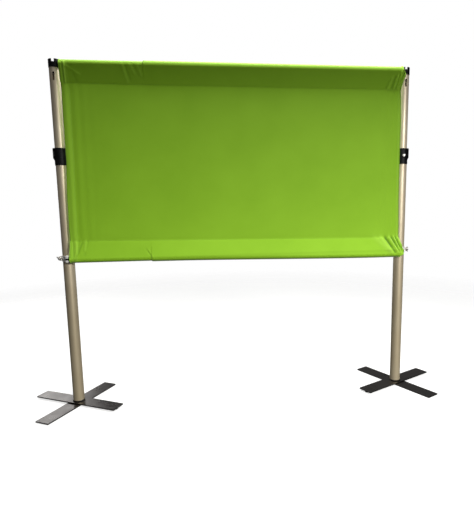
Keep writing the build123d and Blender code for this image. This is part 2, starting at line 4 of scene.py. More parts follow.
import bpy
import numpy as np
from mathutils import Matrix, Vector


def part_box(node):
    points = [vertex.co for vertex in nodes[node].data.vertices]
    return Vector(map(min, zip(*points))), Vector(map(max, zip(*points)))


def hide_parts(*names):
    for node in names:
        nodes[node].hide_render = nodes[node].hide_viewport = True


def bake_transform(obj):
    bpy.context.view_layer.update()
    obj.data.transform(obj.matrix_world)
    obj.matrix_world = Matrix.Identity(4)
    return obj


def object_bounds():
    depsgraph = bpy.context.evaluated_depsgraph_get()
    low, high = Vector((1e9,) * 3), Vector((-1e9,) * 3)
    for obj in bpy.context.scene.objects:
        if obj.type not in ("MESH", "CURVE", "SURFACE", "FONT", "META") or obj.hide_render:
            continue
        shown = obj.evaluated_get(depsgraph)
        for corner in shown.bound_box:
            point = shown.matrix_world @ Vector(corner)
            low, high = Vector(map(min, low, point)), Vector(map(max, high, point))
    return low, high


# ---------------------------------------------------------------------------------------------
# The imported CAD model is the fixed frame. Everything below is in metres, in its frame.
# ---------------------------------------------------------------------------------------------
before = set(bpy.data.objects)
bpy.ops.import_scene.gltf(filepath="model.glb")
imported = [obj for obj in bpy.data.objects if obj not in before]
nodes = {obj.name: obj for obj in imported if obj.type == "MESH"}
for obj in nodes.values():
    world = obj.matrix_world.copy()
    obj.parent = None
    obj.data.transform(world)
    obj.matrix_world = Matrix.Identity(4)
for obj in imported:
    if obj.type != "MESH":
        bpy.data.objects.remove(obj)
cad_low, cad_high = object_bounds()
MM = 0.001
SEED = 20

scene = bpy.context.scene
scene.view_settings.view_transform = "Standard"
scene.view_settings.look = "None"

# ---------------------------------------------------------------------------------------------
# Camera, at the photograph's viewing angle
# ---------------------------------------------------------------------------------------------
CAMERA_PLACE = (-0.1883, -2.125, 0.9368)
CAMERA_TURN = (81.920, 0.818, -7.112)
CAMERA_LENS = 31.14
CAMERA_SENSOR = 36.0
CAMERA_SHIFT = (-0.0374, 0.0223)

camera_data = bpy.data.cameras.new("camera")
camera_data.lens = CAMERA_LENS
camera_data.sensor_width = CAMERA_SENSOR
camera_data.shift_x, camera_data.shift_y = CAMERA_SHIFT
camera = bpy.data.objects.new("camera", camera_data)
camera.location = CAMERA_PLACE
camera.rotation_euler = [math.radians(angle) for angle in CAMERA_TURN]
scene.collection.objects.link(camera)
scene.camera = camera


# ---------------------------------------------------------------------------------------------
# Material helpers
# ---------------------------------------------------------------------------------------------
def set_inputs(tree, made, inputs):
    """Set a node's inputs, each to a plain value or linked from another node's socket."""
    for name, value in inputs.items():
        if isinstance(value, bpy.types.NodeSocket):
            tree.links.new(value, made.inputs[name])
        else:
            made.inputs[name].default_value = value


def node(tree, kind, inputs=None, **settings):
    """One shader node, with its settings and inputs."""
    made = tree.nodes.new("ShaderNode" + kind)
    for name, value in settings.items():
        setattr(made, name, value)
    set_inputs(tree, made, inputs or {})
    return made


def new_material(name):
    """A material with its Principled shader: (material, tree, shader)."""
    made = bpy.data.materials.new(name + "_finish")
    made.use_nodes = True
    tree = made.node_tree
    return made, tree, tree.nodes["Principled BSDF"]


def rgb(red, green, blue):
    return (red, green, blue, 1.0)


def object_place(tree):
    """Object coordinates, in metres."""
    return node(tree, "TexCoord").outputs["Object"]


def stretched(tree, scale=(1.0, 1.0, 1.0)):
    """Object coordinates, scaled by axis."""
    inputs = {"Vector": object_place(tree), "Scale": scale}
    return node(tree, "Mapping", inputs).outputs["Vector"]


def noise(tree, vector, scale, detail=4.0, rough=0.55):
    inputs = {"Vector": vector, "Scale": scale, "Detail": detail, "Roughness": rough}
    return node(tree, "TexNoise", inputs).outputs["Fac"]


def remap(tree, value, low, high, to_low, to_high):
    inputs = {
        "Value": value,
        "From Min": low,
        "From Max": high,
        "To Min": to_low,
        "To Max": to_high,
    }
    return node(tree, "MapRange", inputs, clamp=True).outputs["Result"]


def mixed(tree, factor, first, second):
    """A colour between first and second. A Mix node keeps its colours at inputs 6 and 7."""
    inputs = {0: factor, 6: first, 7: second}
    return node(tree, "Mix", inputs, data_type="RGBA").outputs[2]


def maths(tree, operation, first, second):
    return node(tree, "Math", {0: first, 1: second}, operation=operation).outputs["Value"]


def bump(tree, height, distance, strength):
    inputs = {"Height": height, "Distance": distance, "Strength": strength}
    return node(tree, "Bump", inputs).outputs["Normal"]


# cosine of the turn that a bevel gives the normal, on a flat face and on a worn edge
FACE_COSINE, EDGE_COSINE = 0.985, 0.86


def edge_mask(tree, radius):
    """Near 1 along worn edges, 0 on faces, from how far a bevel turns the normal."""
    soft = node(tree, "Bevel", {"Radius": radius}, samples=4).outputs["Normal"]
    true = node(tree, "NewGeometry").outputs["Normal"]
    dot = node(tree, "VectorMath", {0: soft, 1: true}, operation="DOT_PRODUCT")
    return remap(tree, dot.outputs["Value"], FACE_COSINE, EDGE_COSINE, 0.0, 1.0)


# ---------------------------------------------------------------------------------------------
# Materials
# ---------------------------------------------------------------------------------------------
GRAIN_TONE = rgb(0.40, 0.33, 0.24)
RUB_TONE = rgb(0.36, 0.31, 0.25)
CLOUD_SCALE = (9.0, 9.0, 9.0)
RUB_SCALE = (60.0, 60.0, 14.0)
# heights between which painted shade darkens a tube's colour towards the ground
UNSHADED_ABOVE, FULL_SHADE_BELOW = 1.25, 0.45


def anodised(name, pale, deep, painted_shade_tone, grain_scale, roughness):
    """Satin anodised tube: drawn grain along its length, rub marks, and painted shade that darkens
    it low down.
    """
    made, tree, shader = new_material(name)
    grain = noise(tree, stretched(tree, grain_scale), 1.0, 6.0, 0.65)
    cloud = noise(tree, stretched(tree, CLOUD_SCALE), 1.0, 3.0)
    rubs = noise(tree, stretched(tree, RUB_SCALE), 1.0, 8.0, 0.7)
    marks = remap(tree, rubs, 0.60, 0.72, 0.0, 1.0)
    tone = mixed(tree, remap(tree, cloud, 0.3, 0.7, 0.0, 1.0), pale, deep)
    drawn = mixed(tree, remap(tree, grain, 0.3, 0.8, 0.0, 0.35), tone, GRAIN_TONE)
    worn = mixed(tree, maths(tree, "MULTIPLY", marks, 0.35), drawn, RUB_TONE)
    # painted shade: the colour darkens towards the lower end, where less light falls
    height = node(tree, "SeparateXYZ", {0: object_place(tree)}).outputs["Z"]
    low = remap(tree, height, UNSHADED_ABOVE, FULL_SHADE_BELOW, 0.0, 0.7)
    rough = remap(tree, grain, 0.25, 0.75, roughness - 0.06, roughness + 0.08)
    inputs = {
        "Base Color": mixed(tree, low, worn, painted_shade_tone),
        "Roughness": maths(tree, "ADD", rough, maths(tree, "MULTIPLY", marks, 0.10)),
        "Normal": bump(tree, grain, 0.04 * MM, 0.6),
        "Metallic": 0.50,
    }
    set_inputs(tree, shader, inputs)
    return made


def plated(name, colour, shade, roughness, spangle, metallic):
    """Zinc-plated steel: cloudy spangle, a tarnished tone in places, bright rubbed edges."""
    made, tree, shader = new_material(name)
    cell_inputs = {"Vector": stretched(tree), "Scale": spangle}
    cells = node(tree, "TexVoronoi", cell_inputs).outputs["Distance"]
    cloud = noise(tree, stretched(tree), spangle * 0.6, 5.0)
    tone = mixed(tree, remap(tree, cloud, 0.35, 0.7, 0.0, 1.0), colour, shade)
    inputs = {
        "Base Color": mixed(tree, edge_mask(tree, 0.9 * MM), tone, rgb(0.86, 0.85, 0.83)),
        "Roughness": remap(tree, cells, 0.0, 0.9, roughness - 0.07, roughness + 0.10),
        "Normal": bump(tree, cloud, 0.08 * MM, 0.5),
        "Metallic": metallic,
    }
    set_inputs(tree, shader, inputs)
    return made


PAINT_DARK, PAINT_PALE = rgb(0.0060, 0.0045, 0.0034), rgb(0.0095, 0.0073, 0.0056)
FLOOR_DUST = rgb(0.030, 0.026, 0.022)
SCUFF_TONE = rgb(0.060, 0.054, 0.046)
SCUFF_SCALE = (30.0, 190.0, 60.0)
RUBBED_EDGE = rgb(0.22, 0.205, 0.18)


def powder_steel(name):
    """Foot bars: dark satin paint with orange peel, rubbed edges, scuffs and floor dust on top."""
    made, tree, shader = new_material(name)
    peel = noise(tree, stretched(tree), 420.0, 3.0)
    wide = noise(tree, stretched(tree), 12.0, 5.0)
    scuff = noise(tree, stretched(tree, SCUFF_SCALE), 1.0, 7.0, 0.75)
    facing = node(tree, "NewGeometry").outputs["Normal"]
    up = node(tree, "SeparateXYZ", {0: facing}).outputs["Z"]
    dust = maths(tree, "MULTIPLY", remap(tree, up, 0.6, 1.0, 0.0, 0.55), wide)
    paint = mixed(tree, wide, PAINT_DARK, PAINT_PALE)
    dusty = mixed(tree, dust, paint, FLOOR_DUST)
    scuffed = mixed(tree, remap(tree, scuff, 0.62, 0.75, 0.0, 0.4), dusty, SCUFF_TONE)
    inputs = {
        "Base Color": mixed(tree, edge_mask(tree, 1.2 * MM), scuffed, RUBBED_EDGE),
        "Roughness": remap(tree, wide, 0.3, 0.7, 0.25, 0.36),
        "Normal": bump(tree, peel, 0.06 * MM, 0.7),
        "Specular IOR Level": 0.5,
    }
    set_inputs(tree, shader, inputs)
    return made


def moulded(name, colour, pale, roughness, grain):
    """Moulded plastic or rubber: fine spark-eroded texture, paler rubbed edges."""
    made, tree, shader = new_material(name)
    texture = noise(tree, stretched(tree), grain, 5.0, 0.6)
    wide = noise(tree, stretched(tree), 35.0, 4.0)
    tone = mixed(tree, remap(tree, wide, 0.35, 0.75, 0.0, 0.5), colour, pale)
    edges = maths(tree, "MULTIPLY", edge_mask(tree, 0.8 * MM), 0.7)
    inputs = {
        "Base Color": mixed(tree, edges, tone, pale),
        "Roughness": remap(tree, wide, 0.3, 0.7, roughness - 0.06, roughness + 0.08),
        "Normal": bump(tree, texture, 0.07 * MM, 0.8),
        "Specular IOR Level": 0.16,
    }
    set_inputs(tree, shader, inputs)
    return made


THREAD_PITCH = 0.7 * MM
STRAND_SCALE = (60.0, 900.0, 1.0)
# a wave texture at scale 1 turns by this many radians per metre
WAVE_TURN = 20.0


def wave_texture(tree, vector, scale, distortion, way, detail=2.0):
    inputs = {"Vector": vector, "Scale": scale, "Distortion": distortion, "Detail": detail}
    made = node(tree, "TexWave", inputs, wave_type="BANDS", bands_direction=way)
    return made.outputs["Fac"]


def cloth_material(name, light, deep):
    """Green backdrop cloth: fine weave, slubs, paler doubled hems, and painted light: shade in
    creases, under the sleeve and at the side edges, highlights on ridges and one roll.
    """
    made, tree, shader = new_material(name)
    own = node(tree, "UVMap", uv_map="cloth").outputs["UV"]
    weave_scale = 2 * math.pi / (WAVE_TURN * THREAD_PITCH)
    warp = wave_texture(tree, own, weave_scale, 0.6, "X", 1.0)
    weft = wave_texture(tree, own, weave_scale, 0.6, "Y", 1.0)
    threads = maths(tree, "MAXIMUM", warp, weft)
    strands = node(tree, "Mapping", {"Vector": own, "Scale": STRAND_SCALE}).outputs["Vector"]
    slubs = noise(tree, strands, 1.0, 3.0)
    drift = noise(tree, own, 5.0, 3.0)
    layers_and_highlight = node(tree, "Attribute", attribute_name="layers_and_highlight").outputs["Fac"]
    fold = node(tree, "Attribute", attribute_name="fold").outputs["Fac"]
    tone = mixed(tree, remap(tree, drift, 0.3, 0.7, 0.0, 1.0), deep, light)
    # each step mixes in one more tone: how much of it, and the tone
    for share, second in (
        (remap(tree, slubs, 0.55, 0.8, 0.0, 0.25), rgb(0.30, 0.60, 0.03)),
        (remap(tree, threads, 0.0, 0.6, 0.18, 0.0), rgb(0.12, 0.30, 0.01)),
        # paler where the cloth is doubled, and a painted highlight on the top right roll
        (maths(tree, "MULTIPLY", layers_and_highlight, 0.30), rgb(0.36, 0.66, 0.05)),
        # painted shade in creases, under the lower sleeve and along the side edges, then painted
        # highlight on fold ridges
        (remap(tree, fold, -1.0, 0.0, 0.75, 0.0), rgb(0.06, 0.16, 0.004)),
        (remap(tree, fold, 0.0, 1.0, 0.0, 0.45), rgb(0.42, 0.72, 0.08)),
    ):
        tone = mixed(tree, share, tone, second)
    inputs = {
        "Base Color": tone,
        "Roughness": remap(tree, slubs, 0.3, 0.7, 0.62, 0.78),
        "Normal": bump(tree, threads, 0.12 * MM, 0.5),
        "Sheen Weight": 0.40,
        "Sheen Roughness": 0.45,
        "Sheen Tint": rgb(1.0, 0.95, 0.75),
        "Specular IOR Level": 0.22,
    }
    set_inputs(tree, shader, inputs)
    return made


def thread_material(name):
    """Sewing thread: two greens that turn round it, with a raised twist."""
    made, tree, shader = new_material(name)
    twist = wave_texture(tree, stretched(tree), 900.0, 1.0, "DIAGONAL")
    inputs = {
        "Base Color": mixed(tree, twist, rgb(0.16, 0.36, 0.02), rgb(0.27, 0.54, 0.05)),
        "Normal": bump(tree, twist, 0.1 * MM, 0.6),
        "Roughness": 0.6,
    }
    set_inputs(tree, shader, inputs)
    return made


UPRIGHT_GRAIN = (520.0, 520.0, 5.0)
CROSSBAR_GRAIN = (5.0, 520.0, 520.0)
materials = {
    "tube_aluminium": anodised(
        "tube_aluminium",
        rgb(0.90, 0.79, 0.60),
        rgb(0.78, 0.66, 0.48),
        rgb(0.34, 0.28, 0.16),
        UPRIGHT_GRAIN,
        0.46,
    ),
    "crossbar_aluminium": anodised(
        "crossbar_aluminium",
        rgb(0.78, 0.76, 0.72),
        rgb(0.66, 0.64, 0.60),
        rgb(0.70, 0.68, 0.64),
        CROSSBAR_GRAIN,
        0.34,
    ),
    "foot_steel": powder_steel("foot_steel"),
    "bright_steel": plated(
        "bright_steel", rgb(0.94, 0.92, 0.88), rgb(0.82, 0.79, 0.74), 0.34, 160.0, 0.40
    ),
    "bolt_steel": plated(
        "bolt_steel", rgb(0.60, 0.58, 0.55), rgb(0.42, 0.40, 0.37), 0.34, 320.0, 0.8
    ),
    "black_plastic": moulded(
        "black_plastic", rgb(0.0025, 0.0025, 0.003), rgb(0.012, 0.012, 0.013), 0.48, 1400.0
    ),
    "guide_plastic": moulded(
        "guide_plastic", rgb(0.10, 0.10, 0.105), rgb(0.20, 0.20, 0.20), 0.50, 900.0
    ),
    "pad_rubber": moulded(
        "pad_rubber", rgb(0.020, 0.020, 0.021), rgb(0.060, 0.058, 0.055), 0.78, 700.0
    ),
    "green_fabric": cloth_material(
        "green_fabric", rgb(0.270, 0.535, 0.016), rgb(0.245, 0.495, 0.012)
    ),
}
thread = thread_material("stitch_thread")

for part in nodes.values():
    for slot in part.material_slots:
        slot.material = materials[slot.material.name]

# ---------------------------------------------------------------------------------------------
# The cloth: one continuous sheet. Each end goes over a crossbar and is sewn back to the sheet.
# ---------------------------------------------------------------------------------------------
outer_low, outer_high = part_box("top_outer_bar")
inner_low, inner_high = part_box("top_inner_bar")
lower_low, lower_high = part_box("bottom_outer_bar")
field_low, field_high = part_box("backdrop_field")
bar_end = outer_high.x
mouth_x = outer_low.x
plane_y = (outer_low.y + outer_high.y) / 2
top_z = (outer_low.z + outer_high.z) / 2
bottom_z = (lower_low.z + lower_high.z) / 2
outer_radius = (outer_high.z - outer_low.z) / 2
inner_radius = (inner_high.z - inner_low.z) / 2

CLOTH_THICK = 0.8 * MM
CLEARANCE = 0.6 * MM
# the two layers at a seam: the gap between them, and the hem turned in behind
LAYER_GAP = 1.2 * MM
HEM_BEHIND = 11 * MM
# how far a seam is drawn in, and over how many rows
SEAM_DRAW, SEAM_DRAW_ROWS = 0.7 * MM, 1.2
# how far back the front layer may lie at a seam, and how far past the hem it is free again
SEAM_DEPTH = 0.5 * MM
LAYER_RELEASE = 10 * MM
# height of each seam above that edge of the CAD field, at the left and the right end
TOP_SEAM = (-2.5 * MM, -6.0 * MM)
BOTTOM_SEAM = (5.5 * MM, -13.5 * MM)
# where the sleeves narrow from the outer bars to the inner ones, beside the mouth
STEP_BESIDE_MOUTH = 9 * MM
STEP_LENGTH = 6 * MM
# the lower sleeve hangs loose from here to the right
LOOSE_START, LOOSE_LENGTH = -0.40, 1.10
LOOSE_SAG = 13.0 * MM
LOOSE_BULGE = 4.5 * MM
LOOSE_SQUARE = 0.5
# side hems: width, slope of their inner edge, extra thickness, and the bead along the cut edge
LEFT_HEM = 36 * MM
RIGHT_HEM = 14 * MM
HEM_SLOPE = 1.5 * MM
HEM_THICK = 0.8 * MM
BEAD_REACH = 2.0 * MM
BEAD_FRONT = 0.7 * MM
BEAD_BACK = 0.35 * MM
# the sheet's columns: their spacing, and the stretches in which they lie closer
END_STEP, MIDDLE_STEP, MOUTH_STEP = 2.4 * MM, 5.0 * MM, 1.6 * MM
END_ZONE = 0.155
MOUTH_ZONE = 0.02
EDGE_POWER = 1.3

# how far each side edge stands beyond the crossbar's end, in mm, against height in mm above
# the bottom crossbar
LEFT_EDGE = (
    (0.0, 12.0), (13.0, 11.5), (60.0, 7.5), (130.0, 9.0), (263.0, 8.0), (371.0, 4.0),
    (428.0, 0.0), (521.0, 0.5), (689.0, -1.0), (771.0, -1.0), (810.0, -1.0), (860.0, -1.5),
)
RIGHT_EDGE = (
    (0.0, 24.0), (23.0, 17.0), (50.0, 11.0), (75.0, 7.0), (97.0, 7.0), (239.0, 3.0),
    (456.0, 1.5), (618.0, 2.0), (760.0, -2.0), (771.0, -1.0), (790.0, 2.0), (802.0, 4.5),
    (812.0, 8.0), (824.0, 10.0), (834.0, 4.0), (841.0, -1.0), (860.0, -4.0),
)
# the same round the bottom bar, against the share of the turn from the front to the back
LEFT_EDGE_UNDER = ((0.0, 12.0), (0.3, 10.0), (1.0, 8.0))
RIGHT_EDGE_UNDER = (
    (0.0, 24.0), (0.14, 27.0), (0.20, 26.0), (0.30, 15.0), (0.42, 4.0), (0.6, 6.0), (1.0, 8.0),
)
BACK_EDGE = -1.5 * MM
BACK_EDGE_BOTTOM = 8.0 * MM
# share of the turn over the top bar at which the edge starts to leave its place at the back
FRONT_TURN = 0.80

# folds, each a ridge: from (x, z) to (x, z), half width and height, in mm; z is from a bar's axis
TOP_FOLDS = (
    (-504, -4, -487, -70, 4.5, 1.7), (-473, -3, -454, -38, 4.0, 1.4),
    (-441, -2, -428, -42, 4.0, 1.2), (-490, -8, -474, -60, 4.5, -0.9),
    (-457, -5, -441, -38, 4.0, -0.8), (-767, 8, -768, -66, 2.4, -3.2),
    (-745, 4, -747, -76, 3.2, 3.0), (-752, 4, -753, -76, 3.0, -2.0),
    (-759, 4, -760, -76, 2.6, 2.2), (-735, -12, -690, -42, 6.0, 0.9),
    (-722, -10, -700, -70, 7.0, -0.6), (760, -12, 746, -76, 5.0, 2.9),
    (752, -22, 739, -76, 4.5, -2.4), (744, -26, 730, -80, 5.0, 2.9),
    (731, -30, 717, -80, 5.0, -2.1), (716, -36, 701, -80, 5.5, 2.3),
    (707, -42, 692, -76, 5.0, -1.4), (776, -18, 754, -70, 2.4, 3.6),
    (783, -24, 763, -72, 3.0, -2.8), (770, -16, 750, -66, 2.6, -2.0),
)
BOTTOM_FOLDS = (
    (727, 62, 766, -6, 6.5, 5.2), (738, 64, 773, -4, 4.2, -7.0), (748, 66, 779, -6, 5.5, 6.0),
    (758, 64, 785, -2, 4.0, -7.0), (768, 60, 790, 3, 5.0, 5.8), (686, 60, 735, -8, 10.0, 4.4),
    (708, 62, 751, -8, 6.0, -5.5), (652, 66, 710, 8, 11.0, 1.8), (779, 58, 794, 8, 3.5, -5.0),
    (-750, 76, -746, 14, 5.0, 1.6), (-724, 70, -746, 14, 4.5, -1.7),
    (-735, 78, -752, -6, 4.0, -1.0), (-708, 78, -711, 42, 5.5, 1.4),
    (-698, 76, -712, 20, 5.0, -0.8), (-762, 76, -759, -10, 3.0, -1.6),
    (-439, 38, -412, -8, 3.0, -1.3), (-432, 36, -405, -8, 3.5, 0.8),
)
# how far a fold fades out past its ends, in half widths, and how much of it the field shows
FOLD_FADE = 1.6
FOLD_IN_FIELD = 0.6
# shares of the turns over the top bar and under the bottom one, at which folds start and end
OVER_FOLDS_START, UNDER_FOLDS_END = 0.72, 0.35
# height of fold at which the painted crease shade is deepest and the painted ridge highlight palest
FULL_FOLD = 4.0 * MM

# faint undulation of the field, and upright pleats that die away from both side edges
RIPPLE_COUNT, RIPPLE_LENGTHS, RIPPLE_HEIGHT = 7, (0.16, 0.50), 0.5 * MM
RIPPLE_POWER = 0.6
WAVE_TILT = 0.22
# side, x of a crest, and pitch
PLEATS = ((-1, -0.749, 0.038), (1, 0.742, 0.031))
PLEAT_HEIGHT = 1.5 * MM
PLEAT_REACH = 0.045
WANDER_COUNT, WANDER_LENGTHS, WANDER = 4, (0.3, 0.7), 0.004

# shade of the lower sleeve's underside and of the sheet's side edges
UNDERSIDE_SHADE = 0.85
UNDERSIDE_START, UNDERSIDE_RANGE = 0.35, 0.45
SIDE_SHADE = 0.8
SIDE_SHADE_REACH = 4.0 * MM

# the sheet from its hem behind the top seam to its hem behind the bottom seam, with rows in each
SEGMENTS = (
    ("hem_top", 4), ("back_top", 20), ("over", 24), ("band_top", 30), ("field", 92),
    ("band_bottom", 30), ("under", 26), ("back_bottom", 20), ("hem_bottom", 4),
)
FRONT_SEGMENTS = ("band_top", "field", "band_bottom")

Grid = namedtuple("Grid", "points normals names folds nominal")


def ease(value):
    value = np.clip(value, 0.0, 1.0)
    return value * value * (3.0 - 2.0 * value)


def columns():
    """Nominal x of the sheet's columns: close together near both ends and the mouth."""
    stops = [-bar_end, -bar_end + END_ZONE, mouth_x - MOUTH_ZONE, mouth_x + MOUTH_ZONE]
    stops += [bar_end - END_ZONE, bar_end]
    steps = (END_STEP, MIDDLE_STEP, MOUTH_STEP, MIDDLE_STEP, END_STEP)
    runs = []
    for first, last, step in zip(stops[:-1], stops[1:], steps):
        count = round((last - first) / step)
        runs.append(np.linspace(first, last, count, endpoint=False))
    return np.append(np.concatenate(runs), bar_end)


def cloth_radius(x):
    """The sleeve's radius, which steps down where the thin inner tubes leave the outer ones."""
    skin = CLEARANCE + CLOTH_THICK / 2
    step = ease((x - (mouth_x - STEP_BESIDE_MOUTH)) / STEP_LENGTH)
    return inner_radius + skin + (outer_radius - inner_radius) * step


def over_turn(r, lean, share):
    """y and z round the top bar, from the back over to the front."""
    angle = -lean + (math.pi + 2 * lean) * share
    return plane_y + r * np.cos(angle), top_z + r * np.sin(angle)


def under_turn(r, lean, loose, share):
    """y and z round the bottom bar, from the front under to the back. It sags where it is loose."""
    angle = math.pi - lean + (math.pi + 2 * lean) * share
    across, up = np.cos(angle), np.sin(angle)
    below = np.clip(-up, 0.0, 1.0)
    # where the sleeve hangs loose, its front stays flat down to a tight turn
    power = np.where(below > 0, 1 - LOOSE_SQUARE * loose, 1.0)
    y = plane_y + r * np.sign(across) * np.abs(across) ** power
    if share < 0.5:
        y = y - LOOSE_BULGE * loose * np.sin(math.pi * below)
    drop = (r + LOOSE_SAG * loose * below) * np.abs(up) ** power
    return y, bottom_z + drop * np.sign(up)


def section_rows(x):
    """y and z of every row of the sheet at columns x, and each row's segment and share of it."""
    r = cloth_radius(x)
    ends = (-bar_end, bar_end)
    seam_top = field_high.z + np.interp(x, ends, TOP_SEAM)
    seam_low = field_low.z + np.interp(x, ends, BOTTOM_SEAM)
    lean_top = np.arcsin(r / (top_z - seam_top))
    lean_low = np.arcsin(r / (seam_low - bottom_z))
    loose = ease((x - LOOSE_START) / LOOSE_LENGTH)
    # where the sheet leaves each bar: distance from the mid plane, and height
    off_top, leave_top = r * np.cos(lean_top), top_z - r * np.sin(lean_top)
    off_low, leave_low = r * np.cos(lean_low), bottom_z + r * np.sin(lean_low)
    rear = plane_y + LAYER_GAP
    straight = {
        "hem_top": ((rear, seam_top - HEM_BEHIND), (rear, seam_top)),
        "back_top": ((rear, seam_top), (plane_y + off_top, leave_top)),
        "band_top": ((plane_y - off_top, leave_top), (plane_y, seam_top)),
        "field": ((plane_y, seam_top), (plane_y, seam_low)),
        "band_bottom": ((plane_y, seam_low), (plane_y - off_low, leave_low)),
        "back_bottom": ((plane_y + off_low, leave_low), (rear, seam_low)),
        "hem_bottom": ((rear, seam_low), (rear, seam_low + HEM_BEHIND)),
    }
    rows, names, shares = [], [], []
    for name, count in SEGMENTS:
        last = name == SEGMENTS[-1][0]
        for share in np.linspace(0.0, 1.0, count, endpoint=last):
            if name == "over":
                y, z = over_turn(r, lean_top, share)
            elif name == "under":
                y, z = under_turn(r, lean_low, loose, share)
            else:
                (y0, z0), (y1, z1) = straight[name]
                y, z = y0 + (y1 - y0) * share, z0 + (z1 - z0) * share
            rows.append((y + 0 * x, z))
            names.append(name)
            shares.append(share)
    return np.array(rows), np.array(names), np.array(shares)


def from_table(value, table):
    """Millimetres in a table's second column, read off in metres at values of the first."""
    places, offsets = np.array(table).T
    return np.interp(value, places, offsets) * MM


def edge_offset(z, names, shares, front, under_bar):
    """How far one side's edge stands beyond the bar's end, row by row."""
    offset = from_table((z - bottom_z) / MM, front)
    offset[np.isin(names, ("hem_top", "back_top"))] = BACK_EDGE
    over = names == "over"
    turn = ease((shares[over] - FRONT_TURN) / (1 - FRONT_TURN))
    offset[over] = BACK_EDGE + (offset[over] - BACK_EDGE) * turn
    under = names == "under"
    offset[under] = from_table(shares[under], under_bar)
    offset[np.isin(names, ("back_bottom", "hem_bottom"))] = BACK_EDGE_BOTTOM
    return offset


def drawn_x(x, z, names, shares):
    """x by row and column, once both ends are drawn to where the side edges lie."""
    zone = bar_end - END_ZONE
    left_share = ease((-x - zone) / END_ZONE) ** EDGE_POWER
    right_share = ease((x - zone) / END_ZONE) ** EDGE_POWER
    drawn = np.empty_like(z)
    for j in range(len(x)):
        left = edge_offset(z[:, j], names, shares, LEFT_EDGE, LEFT_EDGE_UNDER)
        right = edge_offset(z[:, j], names, shares, RIGHT_EDGE, RIGHT_EDGE_UNDER)
        drawn[:, j] = x[j] - left_share[j] * left + right_share[j] * right
    return drawn


def ridge_height(x, z, folds, bar_z):
    """Sum of the folds at (x, z): a soft ridge along each line, fading past its ends."""
    total = np.zeros_like(x)
    for x0, z0, x1, z1, width, height in folds:
        start = np.array((x0 * MM, bar_z + z0 * MM))
        along = np.array((x1 * MM, bar_z + z1 * MM)) - start
        length = np.hypot(*along)
        along = along / length
        dx, dz = x - start[0], z - start[1]
        run = dx * along[0] + dz * along[1]
        off = dx * along[1] - dz * along[0]
        past = np.maximum(0.0, np.maximum(-run, run - length))
        spread = width * MM
        fade = np.exp(-((past / (FOLD_FADE * spread)) ** 2))
        total += height * MM * np.exp(-((off / spread) ** 2)) * fade
    return total


def fold_heights(x, z, names, shares):
    """Folds of both bands, which run on a little into the field and round each bar's front."""
    over = ease((shares - OVER_FOLDS_START) / (1 - OVER_FOLDS_START))
    under = 1 - ease(shares / UNDER_FOLDS_END)
    top_share = np.where(names == "over", over, names == "band_top")
    low_share = np.where(names == "under", under, names == "band_bottom")
    into_field = np.where(names == "field", FOLD_IN_FIELD, 0.0)
    top = ridge_height(x, z, TOP_FOLDS, top_z) * (top_share + into_field)[:, None]
    low = ridge_height(x, z, BOTTOM_FOLDS, bottom_z) * (low_share + into_field)[:, None]
    return top + low


def waves(x, z, rng, count, lengths, size):
    """Seeded soft undulation: a sum of long sine waves."""
    total = np.zeros_like(x)
    for _ in range(count):
        length = rng.uniform(*lengths)
        angle = rng.uniform(-WAVE_TILT, WAVE_TILT)
        phase = rng.uniform(0.0, 2 * math.pi)
        total += np.sin(2 * math.pi / length * (x * math.cos(angle) + z * math.sin(angle)) + phase)
    return total * size / math.sqrt(count)


def field_ripple(x, z, names, shares):
    """The field's undulation and the upright pleats beside its edges."""
    rng = np.random.default_rng(SEED)
    field = (names == "field")[:, None]
    inside = np.where(field, np.sin(math.pi * shares)[:, None] ** RIPPLE_POWER, 0.0)
    ripple = waves(x, z, rng, RIPPLE_COUNT, RIPPLE_LENGTHS, RIPPLE_HEIGHT) * inside
    wander = WANDER * waves(x * 0, z, rng, WANDER_COUNT, WANDER_LENGTHS, 1.0)
    for side, crest, pitch in PLEATS:
        reach = np.minimum(np.exp(-(bar_end - side * x) / PLEAT_REACH), 1.0)
        pleat = np.cos(2 * math.pi * (x - crest + wander) / pitch) * reach
        ripple += PLEAT_HEIGHT * pleat * field
    return ripple


def seam_pull(names):
    """How far both seams are drawn in, row by row."""
    pull = np.zeros((len(names), 1))
    for first in ("field", "band_bottom"):
        seam_row = int(np.argmax(names == first))
        near = np.abs(np.arange(len(names)) - seam_row)[:, None]
        pull += SEAM_DRAW * np.exp(-((near / SEAM_DRAW_ROWS) ** 2))
    return pull


def kept_clear(x, y, z, names):
    """y and z once no sleeve sinks into its bar and no front layer crosses the one behind."""
    keep = cloth_radius(x)[None, :]
    for bar_z in (top_z, bottom_z):
        away = np.hypot(y - plane_y, z - bar_z)
        grow = np.maximum(1.0, keep / away)
        y, z = plane_y + (y - plane_y) * grow, bar_z + (z - bar_z) * grow
    top_seam, low_seam = z[np.argmax(names == "field")], z[np.argmax(names == "band_bottom")]
    beside = np.minimum(top_seam - z, z - low_seam)
    free = ease((beside - HEM_BEHIND) / LAYER_RELEASE) * LAYER_RELEASE
    front = np.isin(names, FRONT_SEGMENTS)[:, None]
    return np.where(front, np.minimum(y, plane_y + SEAM_DEPTH + free), y), z


def cloth_grid():
    """The sheet's middle surface by row and column, with each row's segment."""
    nominal = columns()
    rows, names, shares = section_rows(nominal)
    y, z = rows[:, 0, :], rows[:, 1, :]
    x = drawn_x(nominal, z, names, shares)
    ty, tz = np.gradient(y, axis=0), np.gradient(z, axis=0)
    size = np.hypot(ty, tz)
    folds = fold_heights(x, z, names, shares)
    push = field_ripple(x, z, names, shares) + folds - seam_pull(names)
    y, z = kept_clear(nominal, y + tz / size * push, z - ty / size * push, names)
    points = np.stack([x, y, z], axis=-1)
    normals = np.cross(np.gradient(points, axis=0), np.gradient(points, axis=1))
    normals /= np.linalg.norm(normals, axis=-1, keepdims=True)
    return Grid(points, normals, names, folds, nominal)


